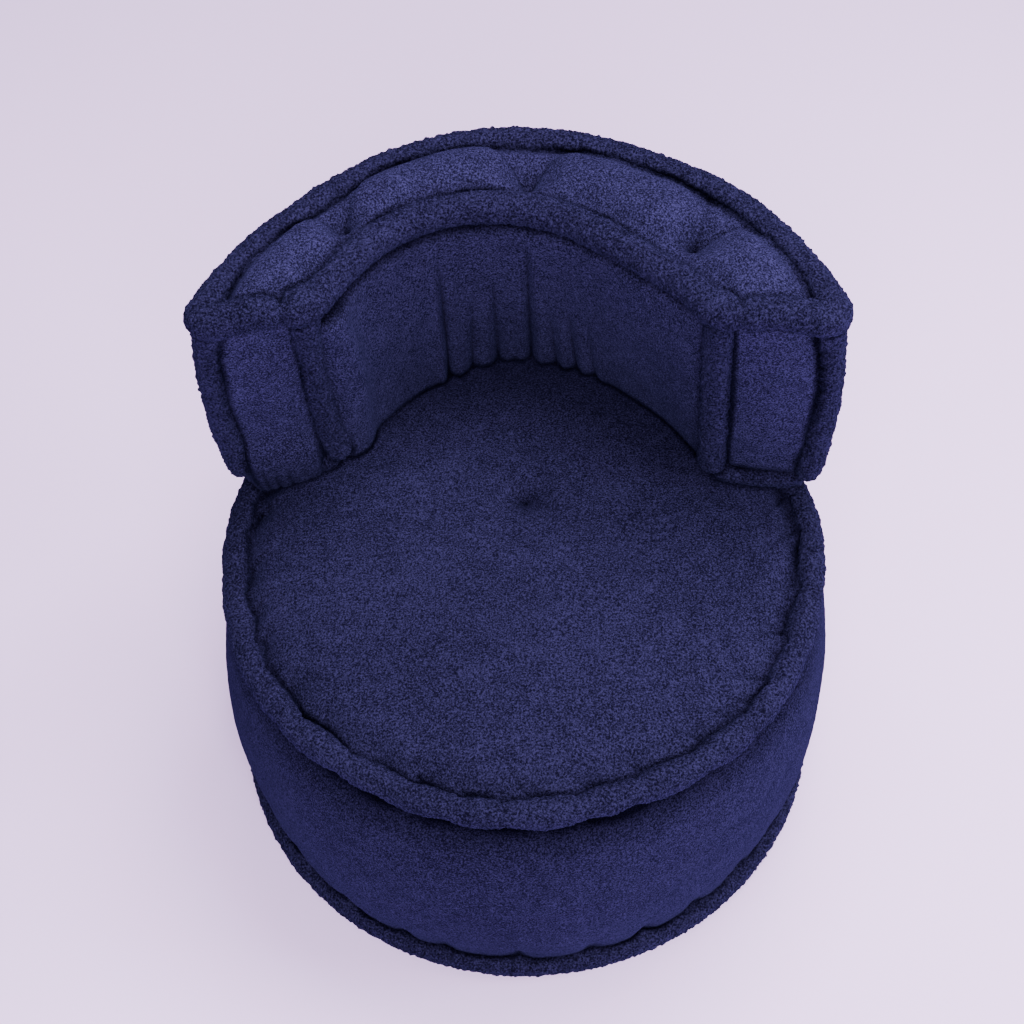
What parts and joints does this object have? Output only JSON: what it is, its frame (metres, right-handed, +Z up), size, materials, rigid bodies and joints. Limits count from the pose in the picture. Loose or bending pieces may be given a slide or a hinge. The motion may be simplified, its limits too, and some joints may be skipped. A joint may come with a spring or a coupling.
{
  "type": "floor chair",
  "caption": "Round stuffed floor chair: a drum seat with a half-ring backrest sewn on its rear half, rolled and hand-stitched edges, and a tufted backrest top.",
  "frame": {"origin": "middle of the flat underside, on the floor", "axes": "+Z up, -Y towards the sitter's front, +Y towards the backrest, +X to the right as seen from the front"},
  "size_m": [0.6301, 0.6301, 0.618],
  "materials": {
    "navy_pile": "short curly pile, matt"
  },
  "bodies": {
    "root": {"seat_cushion": "navy_pile", "seat_top_roll": "navy_pile", "seat_bottom_roll": "navy_pile", "back_cushion": "navy_pile", "back_top_roll": "navy_pile", "back_bottom_roll": "navy_pile", "back_upright_roll_outer_right": "navy_pile", "back_upright_roll_inner_right": "navy_pile", "back_upright_roll_inner_left": "navy_pile", "back_upright_roll_outer_left": "navy_pile"}
  },
  "joints": []
}
